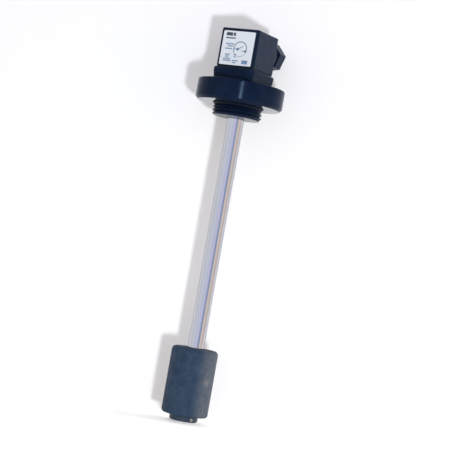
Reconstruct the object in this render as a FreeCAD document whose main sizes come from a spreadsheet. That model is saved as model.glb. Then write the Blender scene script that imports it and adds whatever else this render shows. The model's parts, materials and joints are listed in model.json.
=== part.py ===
import FreeCAD, Part
import math
import os
import re
import Sketcher

# Float level switch: a plug-in cable connector on a flanged head with a pipe thread,
# a stem tube with a reed switch inside, and a float with a ring magnet that slides on the stem.
# +Z runs up the stem, -Y is the label side and +Y the cable side.
# The origin is the centre of the flange's sealing face.

SIZES = (
    # Stem tube, its end plug and the stop collar
    ("insertion_length", "212.6"),
    ("stem_dia", "11"),
    ("stem_wall", "0.75"),
    ("stem_fit", "0.05"),
    ("stem_lip_reach", "1.5"),
    ("stem_lip_thickness", "1"),
    ("plug_cap_height", "1.5"),
    ("plug_spigot_length", "6"),
    ("plug_chamfer", "0.5"),
    ("collar_dia", "19"),
    ("collar_height", "3.7"),
    ("collar_edge", "0.4"),
    ("collar_foot_edge", "0.8"),
    ("collar_tip_offset", "0.4"),
    ("set_screw_dia", "2.5"),
    ("set_screw_inset", "0.3"),
    ("set_screw_angle", "-24"),
    # Float and its magnet
    ("float_dia", "31"),
    ("float_length", "44.5"),
    ("float_clearance", "0.8"),
    ("float_seat_gap", "0.3"),
    ("float_top_edge", "2.6"),
    ("float_foot_edge", "2"),
    ("float_bore_edge", "0.8"),
    ("magnet_dia", "21"),
    ("magnet_height", "8"),
    ("magnet_inset", "18"),
    ("magnet_fit", "0.1"),
    # Head: threaded boss, flange and plug block in one moulding
    ("thread_dia", "33.25"),
    ("thread_length", "8.5"),
    ("thread_chamfer", "1.2"),
    ("relief_dia", "28.4"),
    ("seal_recess_depth", "0.8"),
    ("seal_room", "0.75"),
    ("flange_dia", "58.5"),
    ("flange_height", "14"),
    ("flange_top_edge", "0.9"),
    ("flange_foot_edge", "1.7"),
    ("block_ledge", "1.25"),
    ("block_height", "9"),
    ("block_corner", "2.6"),
    ("block_rim_height", "2.6"),
    ("block_draft", "9"),
    ("block_edge", "0.7"),
    ("block_wall", "2.1"),
    ("well_clearance", "2"),
    ("well_floor_drop", "3"),
    ("potting_height", "4"),
    ("o_ring_section", "2.4"),
    ("o_ring_fit", "0.05"),
    ("o_ring_gap", "0.15"),
    # Plug face in the head
    ("base_corner", "1.6"),
    ("base_thickness", "3"),
    ("base_fit", "0.1"),
    ("hub_dia", "9"),
    ("hub_length", "5"),
    ("insert_dia", "5.4"),
    ("insert_floor", "0.6"),
    ("blade_inset", "3.45"),
    ("blade_width", "6.3"),
    ("blade_thickness", "0.8"),
    ("blade_reach", "10"),
    ("blade_tail", "4.5"),
    ("blade_tip", "1.2"),
    ("blade_fit", "0.05"),
    # Connector
    ("gasket_thickness", "1.2"),
    ("gasket_inset", "0.35"),
    ("gasket_rim", "2.9"),
    ("housing_side", "28.5"),
    ("housing_height", "25.2"),
    ("housing_corner", "1.8"),
    ("housing_top_edge", "1.1"),
    ("housing_wall", "1.8"),
    ("housing_ceiling", "3.4"),
    ("cavity_corner", "1.6"),
    ("label_side_margin", "0.45"),
    ("label_top_margin", "1"),
    ("label_foot_margin", "0.4"),
    ("label_corner", "0.8"),
    ("label_thickness", "0.3"),
    ("label_recess", "0.2"),
    ("label_fit", "0.1"),
    ("screw_dia", "2.9"),
    ("screw_head_dia", "5.8"),
    ("screw_head_height", "1.5"),
    ("screw_slot_width", "0.9"),
    ("screw_slot_depth", "0.8"),
    ("screw_engagement", "6"),
    ("screw_fit", "0.05"),
    ("screw_hole_fit", "0.25"),
    ("screw_seal_thickness", "0.7"),
    ("counterbore_fit", "0.5"),
    ("counterbore_depth", "2.2"),
    ("carrier_height", "10.5"),
    ("carrier_fit", "0.2"),
    ("carrier_hole_dia", "4.2"),
    ("socket_wall", "0.55"),
    ("socket_leaf", "0.7"),
    ("socket_slot_fit", "0.1"),
    ("socket_seat_fit", "0.1"),
    ("terminal_depth", "5.4"),
    ("terminal_height", "5"),
    ("terminal_setback", "0.4"),
    ("wire_hole_dia", "2.2"),
    ("terminal_floor", "0.8"),
    ("terminal_screw_dia", "2.4"),
    ("terminal_screw_head_dia", "4.4"),
    ("terminal_screw_head_height", "1.6"),
    ("terminal_screw_depth", "2"),
    # Cable gland
    ("gland_drop", "10"),
    ("neck_width", "22"),
    ("neck_height", "15"),
    ("neck_corner", "4"),
    ("neck_length", "7"),
    ("neck_draft", "18"),
    ("gland_boss_dia", "16"),
    ("gland_boss_length", "12.8"),
    ("gland_bore_dia", "12.8"),
    ("gland_passage_dia", "8"),
    ("gland_fit", "0.1"),
    ("grommet_length", "8"),
    ("grommet_bore_dia", "7.4"),
    ("washer_thickness", "1"),
    ("washer_bore_dia", "8.2"),
    ("nut_width", "17"),
    ("nut_length", "9"),
    ("nut_gap", "1.2"),
    ("nut_turn", "12"),
    ("nut_bevel", "1.2"),
    ("nut_bore_dia", "9.2"),
    # Reed switch and wiring inside the stem
    ("reed_height", "45"),
    ("capsule_dia", "2.6"),
    ("capsule_wall", "0.4"),
    ("capsule_length", "16"),
    ("capsule_seal", "0.8"),
    ("capsule_taper", "0.4"),
    ("lead_dia", "0.6"),
    ("lead_length", "6"),
    ("lead_fit", "0.05"),
    ("reed_width", "1.2"),
    ("reed_thickness", "0.25"),
    ("reed_gap", "0.15"),
    ("reed_overlap", "2"),
    ("carrier_tube_fit", "0.15"),
    ("carrier_tube_overhang", "1.5"),
    ("capsule_fit", "0.2"),
    ("wire_dia", "1.2"),
    ("wire_fit", "0.1"),
    ("wire_lane", "2.4"),
    ("wire_bend", "5"),
    ("wire_joint", "3"),
    ("wire_set_off", "3"),
    ("earth_lane", "5.5"),
)

doc = FreeCAD.newDocument("float_level_switch")
dims = doc.addObject("Spreadsheet::Sheet", "dims")
for row, (alias, size) in enumerate(SIZES, start=1):
    dims.set(f"A{row}", alias)
    dims.set(f"B{row}", size)
    dims.setAlias(f"B{row}", alias)
doc.recompute()

ALIASES = {alias for alias, size in SIZES}

# Levels and radii that several pieces share, as formulas on the sheet
RELIEF_WIDTH = "(o_ring_section + o_ring_fit + o_ring_gap - seal_recess_depth)"
SEAL_RECESS_DIA = "(relief_dia + 2 * (o_ring_fit + o_ring_section + seal_room))"
BLOCK_SIDE = "(housing_side + 2 * block_ledge)"
BLOCK_TOP = "(flange_height + block_height)"
BASE_SIDE = f"({BLOCK_SIDE} - 2 * block_wall - 2 * base_fit)"
BASE_FOOT = f"({BLOCK_TOP} - base_thickness)"
HOUSING_FOOT = f"({BLOCK_TOP} + gasket_thickness)"
HOUSING_TOP = f"({HOUSING_FOOT} + housing_height)"
CAVITY_SIDE = "(housing_side - 2 * housing_wall)"
BLADE_RADIUS = f"({CAVITY_SIDE} / 2 - blade_inset)"
WELL_DIA = f"(2 * {BLADE_RADIUS} + 2 * well_clearance)"
INSERT_LENGTH = "(base_thickness + hub_length - insert_floor)"
SOCKET_WIDTH = "(blade_width + 2 * (socket_slot_fit + socket_wall))"
SOCKET_THICKNESS = "(blade_thickness + 2 * (socket_slot_fit + socket_leaf))"
TERMINAL_CENTRE = f"({BLADE_RADIUS} - terminal_setback)"
LABEL_WIDTH = "(housing_side - 2 * (housing_corner + label_side_margin))"
LABEL_FOOT = f"({HOUSING_FOOT} + label_foot_margin)"
LABEL_TOP = f"({HOUSING_TOP} - housing_top_edge - label_top_margin)"
LABEL_HEIGHT = f"({LABEL_TOP} - {LABEL_FOOT})"
LABEL_MIDDLE = f"(({LABEL_TOP} + {LABEL_FOOT}) / 2)"
SCREW_HOLE_DIA = "(screw_dia + 2 * screw_hole_fit)"
CARRIER_FOOT = f"({HOUSING_FOOT} + carrier_fit)"
CARRIER_TOP = f"({CARRIER_FOOT} + carrier_height)"
COUNTERBORE_FLOOR = f"({HOUSING_TOP} - counterbore_depth)"
GLAND_LEVEL = f"({HOUSING_TOP} - gland_drop)"
BOSS_END = "(housing_side / 2 + gland_boss_length)"
NUT_FOOT = f"({BOSS_END} + nut_gap)"
NUT_END = f"({NUT_FOOT} + nut_length)"
GROMMET_FOOT = "(housing_side / 2 + gland_fit)"
WASHER_FOOT = f"({GROMMET_FOOT} + grommet_length + gland_fit)"
SPIGOT_FOOT = f"({WASHER_FOOT} + washer_thickness + gland_fit)"
SPIGOT_DIA = "(gland_bore_dia - 2 * gland_fit)"
LIP_TOP = "(stem_lip_thickness - well_floor_drop)"
POTTING_TOP = f"({LIP_TOP} + potting_height)"
STEM_BORE = "(stem_dia - 2 * stem_wall)"
COLLAR_FOOT = "(collar_tip_offset - insertion_length)"
COLLAR_TOP = f"({COLLAR_FOOT} + collar_height)"
FLOAT_FOOT = f"({COLLAR_TOP} + float_seat_gap)"
FLOAT_TOP = f"({FLOAT_FOOT} + float_length)"
FLOAT_BORE = "(stem_dia + 2 * float_clearance)"
MAGNET_FOOT = f"({FLOAT_FOOT} + magnet_inset)"
REED_MIDDLE = "(reed_height - insertion_length)"
CAPSULE_FOOT = f"({REED_MIDDLE} - capsule_length / 2)"
CAPSULE_TOP = f"({REED_MIDDLE} + capsule_length / 2)"
CHAMBER_FOOT = f"({CAPSULE_FOOT} + capsule_seal + capsule_taper)"
CHAMBER_TOP = f"({CAPSULE_TOP} - capsule_seal - capsule_taper)"
LEAD_FOOT = f"({CAPSULE_FOOT} - lead_length)"
LEAD_TOP = f"({CAPSULE_TOP} + lead_length)"
SOLDER_LANE = "(lead_dia / 2 + wire_dia / 2 + wire_fit)"
TAIL_LANE = f"({BLADE_RADIUS} - blade_thickness / 2 - wire_dia / 2 - wire_fit)"
TAIL_FOOT = f"({BASE_FOOT} - blade_tail)"
WIRE_TOP = f"({TAIL_FOOT} + wire_joint)"


def link(formula):
    """The formula with each size's name pointed at its cell."""
    return re.sub(r"[a-z]\w*", lambda word: f"dims.{word[0]}" if word[0] in ALIASES else word[0], formula)


def number(formula):
    return float(dims.evalExpression(link(formula)))


def new_body(label):
    body = doc.addObject("PartDesign::Body", label)
    body.Label = label
    return body


def new_sketch(body, role, offset=None):
    """A sketch on one of the body's own origin planes, moved along the plane's normal."""
    sketch = body.newObject("Sketcher::SketchObject", f"{body.Name}_sketch")
    plane = next(item for item in body.Origin.OriginFeatures if item.Role == role)
    sketch.AttachmentSupport = [(plane, "")]
    sketch.MapMode = "FlatFace"
    if offset:
        sketch.setExpression("AttachmentOffset.Base.z", link(offset))
    return sketch


def hold(sketch, constraint, formula):
    index = sketch.addConstraint(constraint)
    sketch.setExpression(f"Constraints[{index}]", link(formula))


def hold_point(sketch, line, end, across, along):
    """Fixes one point of the sketch, on an axis where the formula is a plain 0."""
    for kind, axis, formula in (("DistanceX", -2, across), ("DistanceY", -1, along)):
        if formula == "0":
            sketch.addConstraint(Sketcher.Constraint("PointOnObject", line, end, axis))
        else:
            hold(sketch, Sketcher.Constraint(kind, line, end, number(formula)), formula)


def spot(across, along):
    return FreeCAD.Vector(number(across), number(along), 0)


def draw_outline(sketch, corners):
    """A closed outline of straight lines through the corners."""
    first = sketch.GeometryCount
    count = len(corners)
    for index in range(count):
        start = spot(*corners[index])
        end = spot(*corners[(index + 1) % count])
        sketch.addGeometry(Part.LineSegment(start, end), False)
    for index in range(count):
        following = first + (index + 1) % count
        sketch.addConstraint(Sketcher.Constraint("Coincident", first + index, 2, following, 1))
        hold_point(sketch, first + index, 1, *corners[index])


def draw_rectangle(sketch, width, height, across="0", along="0"):
    left = f"{across} - {width} / 2"
    right = f"{across} + {width} / 2"
    low = f"{along} - {height} / 2"
    high = f"{along} + {height} / 2"
    draw_outline(sketch, [(left, low), (right, low), (right, high), (left, high)])


def draw_circle(sketch, diameter, across="0", along="0"):
    circle = Part.Circle(spot(across, along), FreeCAD.Vector(0, 0, 1), number(diameter) / 2)
    index = sketch.addGeometry(circle, False)
    hold_point(sketch, index, 3, across, along)
    hold(sketch, Sketcher.Constraint("Diameter", index, number(diameter)), diameter)


def draw_rounded(sketch, width, height, corner, along="0"):
    """A rectangle with arcs at its corners, centred across the sketch."""
    first = sketch.GeometryCount
    reach = f"({width} / 2 - {corner})"
    rise = f"({height} / 2 - {corner})"
    quarter = math.pi / 2
    centres = [(reach, f"{along} - {rise}", 3), (reach, f"{along} + {rise}", 0)]
    centres += [(f"-{reach}", f"{along} + {rise}", 1), (f"-{reach}", f"{along} - {rise}", 2)]
    radius = number(corner)
    for across, up, turn in centres:
        circle = Part.Circle(spot(across, up), FreeCAD.Vector(0, 0, 1), radius)
        sketch.addGeometry(Part.ArcOfCircle(circle, turn * quarter, (turn + 1) * quarter), False)
    arcs = [sketch.Geometry[first + index] for index in range(4)]
    for index in range(4):
        sketch.addGeometry(Part.LineSegment(arcs[index].EndPoint, arcs[(index + 1) % 4].StartPoint), False)
    for index, (across, up, turn) in enumerate(centres):
        hold_point(sketch, first + index, 3, across, up)
        hold(sketch, Sketcher.Constraint("Radius", first + index, radius), corner)
        sketch.addConstraint(Sketcher.Constraint("Tangent", first + index, 2, first + 4 + index, 1))
        sketch.addConstraint(Sketcher.Constraint("Tangent", first + 4 + index, 2, first + (index + 1) % 4, 1))


def pad(body, sketch, length, backwards=False, taper=None, both_ways=False):
    feature = body.newObject("PartDesign::Pad", f"{body.Name}_pad")
    feature.Profile = sketch
    feature.setExpression("Length", link(length))
    feature.Reversed = backwards
    if both_ways:
        feature.SideType = "Symmetric"
    if taper:
        feature.setExpression("TaperAngle", link(taper))
    doc.recompute()
    return feature


def pocket(body, sketch, depth, backwards=False, both_ways=False):
    """Cuts the sketch out of the body, and stops if nothing was cut."""
    before = body.Shape.Volume
    feature = body.newObject("PartDesign::Pocket", f"{body.Name}_pocket")
    feature.Profile = sketch
    feature.setExpression("Length", link(depth))
    feature.Reversed = backwards
    if both_ways:
        feature.SideType = "Symmetric"
    doc.recompute()
    if body.Shape.Volume > before - NEAR:
        raise RuntimeError(f"a pocket of {body.Label} cuts nothing")
    return feature


def revolve(body, sketch, kind="Revolution"):
    feature = body.newObject(f"PartDesign::{kind}", f"{body.Name}_{kind.lower()}")
    feature.Profile = sketch
    feature.ReferenceAxis = (sketch, ["V_Axis"])
    feature.Angle = 360
    doc.recompute()
    return feature


def turned(label, corners):
    """A body turned about Z from corners given as radius and height."""
    body = new_body(label)
    sketch = new_sketch(body, "XZ_Plane")
    draw_outline(sketch, corners)
    revolve(body, sketch)
    return body


def dress(body, kind, size_name, size, wanted):
    """A fillet or chamfer on the edges of the body that the test picks."""
    base = body.Tip
    names = [f"Edge{index}" for index, edge in enumerate(base.Shape.Edges, start=1) if wanted(edge)]
    if not names:
        raise RuntimeError(f"no edge of {body.Label} to dress")
    feature = body.newObject(f"PartDesign::{kind}", f"{body.Name}_{kind.lower()}")
    feature.Base = (base, names)
    feature.setExpression(size_name, link(size))
    doc.recompute()
    return feature


def fillet(body, radius, wanted):
    return dress(body, "Fillet", "Radius", radius, wanted)


def chamfer(body, size, wanted):
    return dress(body, "Chamfer", "Size", size, wanted)


NEAR = 0.001


def level_edge(level):
    """Picks edges that lie flat at one height."""
    height = number(level)
    return lambda edge: abs(edge.BoundBox.ZMin - height) < NEAR and abs(edge.BoundBox.ZMax - height) < NEAR


def round_edge(diameter, level):
    """Picks the circle of one diameter about Z at one height."""
    flat = level_edge(level)
    width = number(diameter)
    return lambda edge: flat(edge) and abs(edge.BoundBox.XLength - width) < NEAR


def place(item, turn="0", **shifts):
    """Places a piece by formulas, turned about Z."""
    for axis, formula in shifts.items():
        item.setExpression(f"Placement.Base.{axis}", link(formula))
    if turn != "0":
        item.setExpression("Placement.Rotation.Angle", link(turn))


def rod(name, diameter, length, foot):
    """A plain upright cylinder on the stem axis."""
    item = doc.addObject("Part::Cylinder", name)
    item.setExpression("Radius", link(f"{diameter} / 2"))
    item.setExpression("Height", link(length))
    place(item, z=foot)
    return item


def head_body():
    body = turned("head_body", [
        ("0", "-thread_length"),
        ("thread_dia / 2 - thread_chamfer", "-thread_length"),
        ("thread_dia / 2", "thread_chamfer - thread_length"),
        ("thread_dia / 2", f"-{RELIEF_WIDTH} - thread_chamfer"),
        ("thread_dia / 2 - thread_chamfer", f"-{RELIEF_WIDTH}"),
        ("relief_dia / 2", f"-{RELIEF_WIDTH}"),
        ("relief_dia / 2", "seal_recess_depth"),
        (f"{SEAL_RECESS_DIA} / 2", "seal_recess_depth"),
        (f"{SEAL_RECESS_DIA} / 2", "0"),
        ("flange_dia / 2", "0"),
        ("flange_dia / 2", "flange_height"),
        ("0", "flange_height"),
    ])
    chamfer(body, "flange_foot_edge", round_edge("flange_dia", "0"))
    fillet(body, "flange_top_edge", round_edge("flange_dia", "flange_height"))

    # Plug block: a square rim whose sides draw in below it towards the flange
    rim = new_sketch(body, "XY_Plane", f"{BLOCK_TOP} - block_rim_height")
    draw_rounded(rim, BLOCK_SIDE, BLOCK_SIDE, "block_corner")
    pad(body, rim, "block_rim_height")
    skirt = new_sketch(body, "XY_Plane", f"{BLOCK_TOP} - block_rim_height")
    draw_rounded(skirt, BLOCK_SIDE, BLOCK_SIDE, "block_corner")
    pad(body, skirt, "block_height - block_rim_height", backwards=True, taper="-block_draft")
    chamfer(body, "block_edge", level_edge(BLOCK_TOP))

    # Recess for the plug face, the well below it and the bore for the stem
    recess = new_sketch(body, "XY_Plane", BLOCK_TOP)
    opening = f"({BASE_SIDE} + 2 * base_fit)"
    draw_rounded(recess, opening, opening, "(base_corner + base_fit)")
    pocket(body, recess, "base_thickness")
    well = new_sketch(body, "XY_Plane", BASE_FOOT)
    draw_circle(well, WELL_DIA)
    pocket(body, well, f"{BASE_FOOT} + well_floor_drop")
    bore = new_sketch(body, "XY_Plane", "-well_floor_drop")
    draw_circle(bore, "stem_dia + 2 * stem_fit")
    pocket(body, bore, "thread_length - well_floor_drop")
    return body


def flange_o_ring():
    ring = doc.addObject("Part::Torus", "flange_o_ring")
    ring.setExpression("Radius1", link("relief_dia / 2 + o_ring_fit + o_ring_section / 2"))
    ring.setExpression("Radius2", link("o_ring_section / 2"))
    place(ring, z="seal_recess_depth - o_ring_fit - o_ring_section / 2")
    return ring


def stem_tube():
    return turned("stem_tube", [
        (f"{STEM_BORE} / 2", "plug_cap_height - insertion_length"),
        ("stem_dia / 2", "plug_cap_height - insertion_length"),
        ("stem_dia / 2", "-well_floor_drop"),
        ("stem_dia / 2 + stem_lip_reach", "-well_floor_drop"),
        ("stem_dia / 2 + stem_lip_reach", LIP_TOP),
        (f"{STEM_BORE} / 2", LIP_TOP),
    ])


def stem_plug():
    body = turned("stem_plug", [
        ("0", "-insertion_length"),
        ("stem_dia / 2", "-insertion_length"),
        ("stem_dia / 2", "plug_cap_height - insertion_length"),
        (f"{STEM_BORE} / 2 - stem_fit", "plug_cap_height - insertion_length"),
        (f"{STEM_BORE} / 2 - stem_fit", "plug_cap_height + plug_spigot_length - insertion_length"),
        ("0", "plug_cap_height + plug_spigot_length - insertion_length"),
    ])
    chamfer(body, "plug_chamfer", round_edge("stem_dia", "-insertion_length"))
    return body


def stop_collar():
    body = turned("stop_collar", [
        ("stem_dia / 2 + stem_fit", COLLAR_FOOT),
        ("collar_dia / 2", COLLAR_FOOT),
        ("collar_dia / 2", COLLAR_TOP),
        ("stem_dia / 2 + stem_fit", COLLAR_TOP),
    ])
    chamfer(body, "collar_foot_edge", round_edge("collar_dia", COLLAR_FOOT))
    chamfer(body, "collar_edge", round_edge("collar_dia", COLLAR_TOP))
    hole = new_sketch(body, "YZ_Plane")
    draw_circle(hole, "set_screw_dia + 2 * stem_fit", along=f"{COLLAR_FOOT} + collar_height / 2")
    pocket(body, hole, "collar_dia / 2", backwards=True)
    place(body, turn="set_screw_angle")
    return body


def stop_screw():
    body = new_body("stop_screw")
    shank = new_sketch(body, "YZ_Plane", "stem_dia / 2 + stem_fit")
    draw_circle(shank, "set_screw_dia", along=f"{COLLAR_FOOT} + collar_height / 2")
    pad(body, shank, "collar_dia / 2 - stem_dia / 2 - stem_fit - set_screw_inset")
    place(body, turn="set_screw_angle")
    return body


def float_body():
    pocket_radius = "magnet_dia / 2 + magnet_fit"
    body = turned("float_body", [
        (f"{FLOAT_BORE} / 2", FLOAT_FOOT),
        ("float_dia / 2", FLOAT_FOOT),
        ("float_dia / 2", FLOAT_TOP),
        (f"{FLOAT_BORE} / 2", FLOAT_TOP),
        (f"{FLOAT_BORE} / 2", f"{MAGNET_FOOT} + magnet_height + magnet_fit"),
        (pocket_radius, f"{MAGNET_FOOT} + magnet_height + magnet_fit"),
        (pocket_radius, f"{MAGNET_FOOT} - magnet_fit"),
        (f"{FLOAT_BORE} / 2", f"{MAGNET_FOOT} - magnet_fit"),
    ])
    fillet(body, "float_top_edge", round_edge("float_dia", FLOAT_TOP))
    fillet(body, "float_foot_edge", round_edge("float_dia", FLOAT_FOOT))
    for level in (FLOAT_FOOT, FLOAT_TOP):
        chamfer(body, "float_bore_edge", round_edge(FLOAT_BORE, level))
    return body


def float_magnet():
    return turned("float_magnet", [
        (f"{FLOAT_BORE} / 2 + magnet_fit", MAGNET_FOOT),
        ("magnet_dia / 2", MAGNET_FOOT),
        ("magnet_dia / 2", f"{MAGNET_FOOT} + magnet_height"),
        (f"{FLOAT_BORE} / 2 + magnet_fit", f"{MAGNET_FOOT} + magnet_height"),
    ])


def stem_potting():
    body = turned("stem_potting", [
        ("0", LIP_TOP),
        (f"{WELL_DIA} / 2 - stem_fit", LIP_TOP),
        (f"{WELL_DIA} / 2 - stem_fit", POTTING_TOP),
        ("0", POTTING_TOP),
    ])
    wires = new_sketch(body, "XY_Plane", POTTING_TOP)
    for across, along in (("wire_lane", "0"), ("-wire_lane", "0"), ("0", "earth_lane")):
        draw_circle(wires, "wire_dia + 2 * wire_fit", across, along)
    pocket(body, wires, "potting_height")
    return body


def contact_base():
    body = new_body("contact_base")
    plate = new_sketch(body, "XY_Plane", BASE_FOOT)
    draw_rounded(plate, BASE_SIDE, BASE_SIDE, "base_corner")
    pad(body, plate, "base_thickness")
    hub = new_sketch(body, "XY_Plane", BASE_FOOT)
    draw_circle(hub, "hub_dia")
    pad(body, hub, "hub_length", backwards=True)
    hole = new_sketch(body, "XY_Plane", BLOCK_TOP)
    draw_circle(hole, "insert_dia + 2 * base_fit")
    pocket(body, hole, f"{INSERT_LENGTH} + base_fit")
    slots = new_sketch(body, "XY_Plane", BLOCK_TOP)
    thick = "(blade_thickness + 2 * blade_fit)"
    wide = "(blade_width + 2 * blade_fit)"
    draw_rectangle(slots, thick, wide, across=BLADE_RADIUS)
    draw_rectangle(slots, thick, wide, across=f"-{BLADE_RADIUS}")
    draw_rectangle(slots, wide, thick, along=BLADE_RADIUS)
    pocket(body, slots, "base_thickness")
    return body


def base_insert():
    return turned("base_insert", [
        ("screw_dia / 2 + screw_fit", f"{BLOCK_TOP} - {INSERT_LENGTH}"),
        ("insert_dia / 2", f"{BLOCK_TOP} - {INSERT_LENGTH}"),
        ("insert_dia / 2", BLOCK_TOP),
        ("screw_dia / 2 + screw_fit", BLOCK_TOP),
    ])


# The three contacts stand at the same radius, each turned to its own side of the plug
CONTACTS = (("1", "180"), ("2", "0"), ("earth", "90"))


def contact_blade(name, turn):
    body = new_body(f"contact_blade_{name}")
    outline = new_sketch(body, "YZ_Plane", BLADE_RADIUS)
    top = f"({BLOCK_TOP} + blade_reach)"
    draw_outline(outline, [
        ("-blade_width / 2", TAIL_FOOT),
        ("blade_width / 2", TAIL_FOOT),
        ("blade_width / 2", f"{top} - blade_tip"),
        ("blade_width / 2 - blade_tip", top),
        ("blade_tip - blade_width / 2", top),
        ("-blade_width / 2", f"{top} - blade_tip"),
    ])
    pad(body, outline, "blade_thickness", both_ways=True)
    place(body, turn=turn)
    return body


def socket_contact(name, turn):
    """A spring socket that takes the blade, with a screw terminal on its top."""
    body = new_body(f"socket_contact_{name}")
    spring = new_sketch(body, "XY_Plane", CARRIER_FOOT)
    draw_rectangle(spring, SOCKET_THICKNESS, SOCKET_WIDTH, across=BLADE_RADIUS)
    pad(body, spring, "carrier_height")
    terminal = new_sketch(body, "XY_Plane", CARRIER_TOP)
    draw_rectangle(terminal, "terminal_depth", SOCKET_WIDTH, across=TERMINAL_CENTRE)
    pad(body, terminal, "terminal_height")
    slot = new_sketch(body, "XY_Plane", CARRIER_FOOT)
    thick = "(blade_thickness + 2 * socket_slot_fit)"
    wide = "(blade_width + 2 * socket_slot_fit)"
    draw_rectangle(slot, thick, wide, across=BLADE_RADIUS)
    pocket(body, slot, "carrier_height", backwards=True)
    thread = new_sketch(body, "XY_Plane", f"{CARRIER_TOP} + terminal_height")
    draw_circle(thread, "terminal_screw_dia + 2 * screw_fit", across=TERMINAL_CENTRE)
    pocket(body, thread, "terminal_screw_depth + screw_fit")
    wire = new_sketch(body, "XZ_Plane")
    wire_level = f"{CARRIER_TOP} + terminal_floor + wire_hole_dia / 2"
    draw_circle(wire, "wire_hole_dia", across=TERMINAL_CENTRE, along=wire_level)
    pocket(body, wire, SOCKET_WIDTH, both_ways=True)
    place(body, turn=turn)
    return body


def terminal_screws():
    """The clamp screws of the three terminals, as one group."""
    group = doc.addObject("Part::Compound", "terminal_screws")
    screws = []
    seat = f"({CARRIER_TOP} + terminal_height)"
    for name, turn in CONTACTS:
        body = new_body(f"terminal_screw_{name}")
        for diameter, length, down in (
            ("terminal_screw_head_dia", "terminal_screw_head_height", False),
            ("terminal_screw_dia", "terminal_screw_depth", True),
        ):
            sketch = new_sketch(body, "XY_Plane", seat)
            draw_circle(sketch, diameter, across=TERMINAL_CENTRE)
            pad(body, sketch, length, backwards=down)
        place(body, turn=turn)
        screws.append(body)
    group.Links = screws
    return group


def terminal_carrier():
    body = new_body("terminal_carrier")
    block = new_sketch(body, "XY_Plane", CARRIER_FOOT)
    side = f"({CAVITY_SIDE} - 2 * carrier_fit)"
    draw_rounded(block, side, side, "cavity_corner")
    pad(body, block, "carrier_height")
    hole = new_sketch(body, "XY_Plane", CARRIER_TOP)
    draw_circle(hole, "carrier_hole_dia")
    pocket(body, hole, "carrier_height")
    seats = new_sketch(body, "XY_Plane", CARRIER_TOP)
    thick = f"({SOCKET_THICKNESS} + 2 * socket_seat_fit)"
    wide = f"({SOCKET_WIDTH} + 2 * socket_seat_fit)"
    draw_rectangle(seats, thick, wide, across=BLADE_RADIUS)
    draw_rectangle(seats, thick, wide, across=f"-{BLADE_RADIUS}")
    draw_rectangle(seats, wide, thick, along=BLADE_RADIUS)
    pocket(body, seats, "carrier_height")
    return body


def connector_gasket():
    body = new_body("connector_gasket")
    sheet = new_sketch(body, "XY_Plane", BLOCK_TOP)
    side = "(housing_side - 2 * gasket_inset)"
    draw_rounded(sheet, side, side, "(housing_corner - gasket_inset)")
    pad(body, sheet, "gasket_thickness")
    opening = new_sketch(body, "XY_Plane", HOUSING_FOOT)
    gap = f"({side} - 2 * gasket_rim)"
    draw_rounded(opening, gap, gap, "cavity_corner")
    pocket(body, opening, "gasket_thickness")
    return body


def connector_housing():
    body = new_body("connector_housing")
    shell = new_sketch(body, "XY_Plane", HOUSING_FOOT)
    draw_rounded(shell, "housing_side", "housing_side", "housing_corner")
    pad(body, shell, "housing_height")
    fillet(body, "housing_top_edge", level_edge(HOUSING_TOP))

    # Tapered neck at the back, and the round boss of the cable gland that it carries
    neck = new_sketch(body, "XZ_Plane", "housing_wall / 2 - housing_side / 2")
    draw_rounded(neck, "neck_width", "neck_height", "neck_corner", along=GLAND_LEVEL)
    pad(body, neck, "neck_length + housing_wall / 2", backwards=True, taper="-neck_draft")
    boss = new_sketch(body, "XZ_Plane", "housing_wall / 2 - housing_side / 2")
    draw_circle(boss, "gland_boss_dia", along=GLAND_LEVEL)
    pad(body, boss, "gland_boss_length + housing_wall / 2", backwards=True)
    cavity = new_sketch(body, "XY_Plane", HOUSING_FOOT)
    draw_rounded(cavity, CAVITY_SIDE, CAVITY_SIDE, "cavity_corner")
    pocket(body, cavity, "housing_height - housing_ceiling", backwards=True)
    bore = new_sketch(body, "XZ_Plane", f"-{BOSS_END}")
    draw_circle(bore, "gland_bore_dia", along=GLAND_LEVEL)
    pocket(body, bore, "gland_boss_length", backwards=True)
    passage = new_sketch(body, "XZ_Plane", f"-{BOSS_END}")
    draw_circle(passage, "gland_passage_dia", along=GLAND_LEVEL)
    pocket(body, passage, "gland_boss_length + housing_wall", backwards=True)

    # Stepped hole for the centre screw, and the shallow seat of the label
    seat = new_sketch(body, "XY_Plane", HOUSING_TOP)
    draw_circle(seat, "screw_head_dia + 2 * counterbore_fit")
    pocket(body, seat, "counterbore_depth")
    hole = new_sketch(body, "XY_Plane", HOUSING_TOP)
    draw_circle(hole, SCREW_HOLE_DIA)
    pocket(body, hole, "housing_ceiling")
    label = new_sketch(body, "XZ_Plane", "housing_side / 2")
    wide = f"({LABEL_WIDTH} + 2 * label_fit)"
    tall = f"({LABEL_HEIGHT} + 2 * label_fit)"
    draw_rounded(label, wide, tall, "label_corner", along=LABEL_MIDDLE)
    pocket(body, label, "label_recess")
    return body


def rating_label():
    body = new_body("rating_label")
    plate = new_sketch(body, "XZ_Plane", "housing_side / 2 - label_recess")
    draw_rounded(plate, LABEL_WIDTH, LABEL_HEIGHT, "label_corner", along=LABEL_MIDDLE)
    pad(body, plate, "label_thickness")
    return body


def screw_seal():
    return turned("screw_seal", [
        (f"{SCREW_HOLE_DIA} / 2", COUNTERBORE_FLOOR),
        ("screw_head_dia / 2", COUNTERBORE_FLOOR),
        ("screw_head_dia / 2", f"{COUNTERBORE_FLOOR} + screw_seal_thickness"),
        (f"{SCREW_HOLE_DIA} / 2", f"{COUNTERBORE_FLOOR} + screw_seal_thickness"),
    ])


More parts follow.
